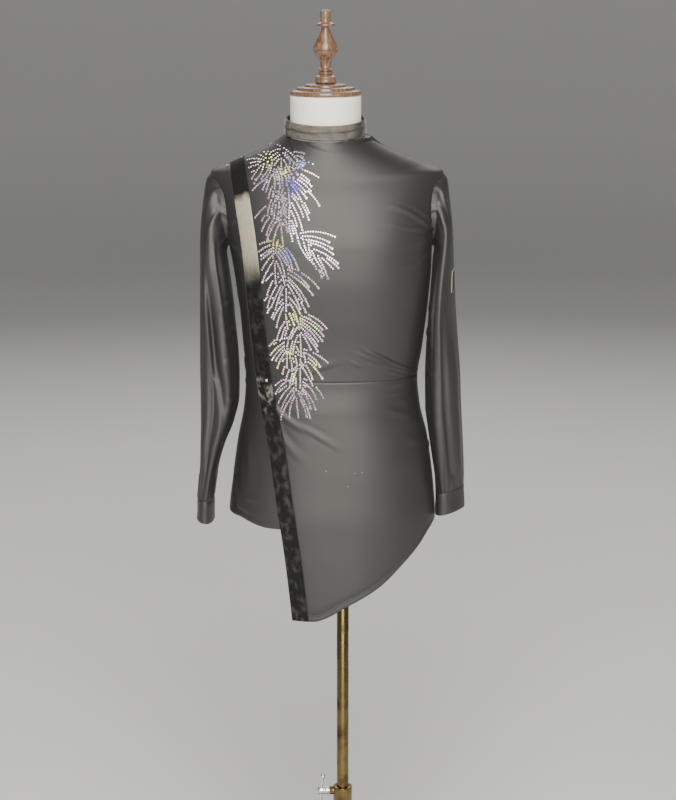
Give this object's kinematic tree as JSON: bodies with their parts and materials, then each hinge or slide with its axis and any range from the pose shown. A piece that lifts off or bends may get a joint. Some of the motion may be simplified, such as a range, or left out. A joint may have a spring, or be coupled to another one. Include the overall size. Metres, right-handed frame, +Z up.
{
  "type": "latin dance shirt on a dress form with its stand",
  "caption": "Long-sleeved asymmetric stretch satin dance shirt with a velvet band and collar and a stone spray, on a limbless dress form with a turned finial and a sliding pole on a round base.",
  "frame": {"origin": "on the floor, in the middle of the base's flat underside, on the axis of the pole", "axes": "+Z up along the pole, the front of the shirt faces -Y, and the wearer's left is at +X"},
  "size_m": [0.4944, 0.33, 1.772],
  "materials": {
    "satin": "black stretch satin with a soft sheen",
    "velvet": "black pile velvet, crushed in places",
    "patch": "plain woven patch with a pale edge",
    "form_cover": "smooth ivory jersey over foam",
    "wood": "dark stained wood under gloss varnish",
    "antique_brass": "antique brass plating on steel",
    "screw_metal": "polished plating",
    "base_metal": "antique brass lacquer on cast iron"
  },
  "bodies": {
    "stand": {"base_disc": "base_metal", "tube_lower": "antique_brass", "clamp_collar": "antique_brass"},
    "screw": {"clamp_screw": "screw_metal"},
    "mast": {"tube_upper": "antique_brass"},
    "form": {"form_torso": "form_cover", "neck_cap": "wood", "finial": "wood", "socket": "antique_brass", "front_upper": "satin", "front_lower": "satin", "front_right": "satin", "back": "satin", "trim_upper": "velvet", "trim_lower": "velvet", "collar": "velvet", "sleeve_right": "satin", "sleeve_left": "satin", "cuff_right": "satin", "cuff_left": "satin", "sleeve_patch": "patch"}
  },
  "joints": [
    {"name": "height", "type": "slide", "parent": "stand", "child": "mast", "axis": [0, 0, 1], "range_m": [-0.08, 0.14]},
    {"name": "turn", "type": "hinge", "parent": "mast", "child": "form", "pos_m": [0, 0, 0.9], "axis": [0, 0, 1], "continuous": true},
    {"name": "clamp_turn", "type": "hinge", "parent": "stand", "child": "screw", "pos_m": [-0.03, 0, 0.297], "axis": [1, 0, 0], "continuous": true}
  ]
}
